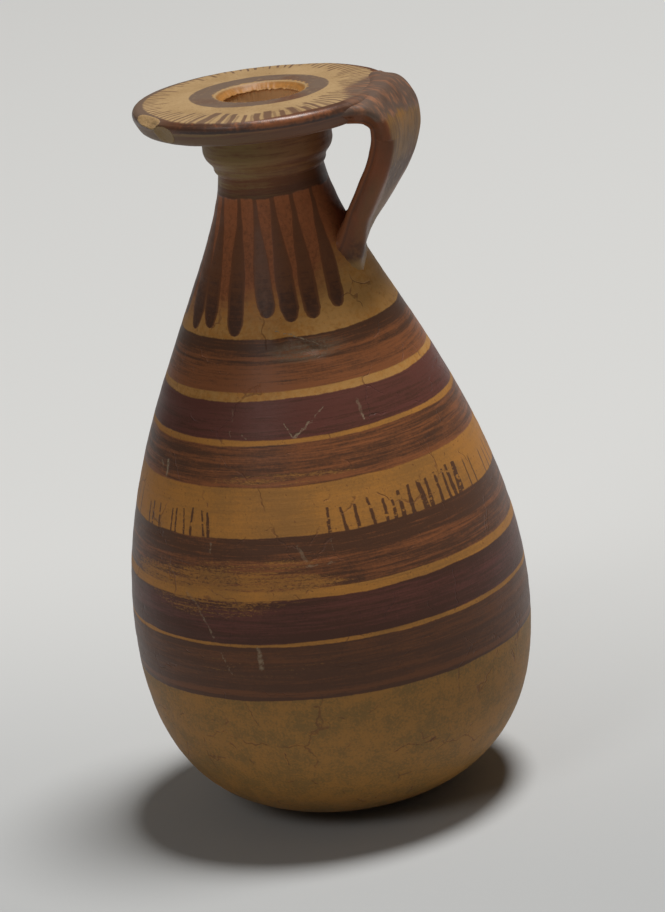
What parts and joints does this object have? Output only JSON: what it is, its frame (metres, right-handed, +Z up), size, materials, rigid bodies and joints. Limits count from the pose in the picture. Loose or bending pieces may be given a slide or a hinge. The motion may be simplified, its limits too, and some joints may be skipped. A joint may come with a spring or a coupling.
{
  "type": "alabastron",
  "caption": "Pear-shaped fired clay oil flask with a rounded base, narrow neck, flat mouth disc and one strap handle.",
  "frame": {"origin": "centre of the flat worn spot under the rounded base, on the surface it stands on", "axes": "+Z up along the throwing axis, out of the mouth; +X to the handle; +Y across the strap"},
  "size_m": [0.0706, 0.0706, 0.13],
  "materials": {
    "banded_clay": "smoothed buff clay under brushed bands of dark brown, red-brown and wine slip, satin",
    "ring_slip": "thin olive-brown slip over clay, satin",
    "disc_clay": "buff clay with dark brown brushed strokes and edge, satin",
    "handle_clay": "red-brown worn slip over buff clay, satin"
  },
  "bodies": {
    "root": {"body": "banded_clay", "neck_ring": "ring_slip", "mouth_disc": "disc_clay", "strap_handle": "handle_clay"}
  },
  "joints": []
}
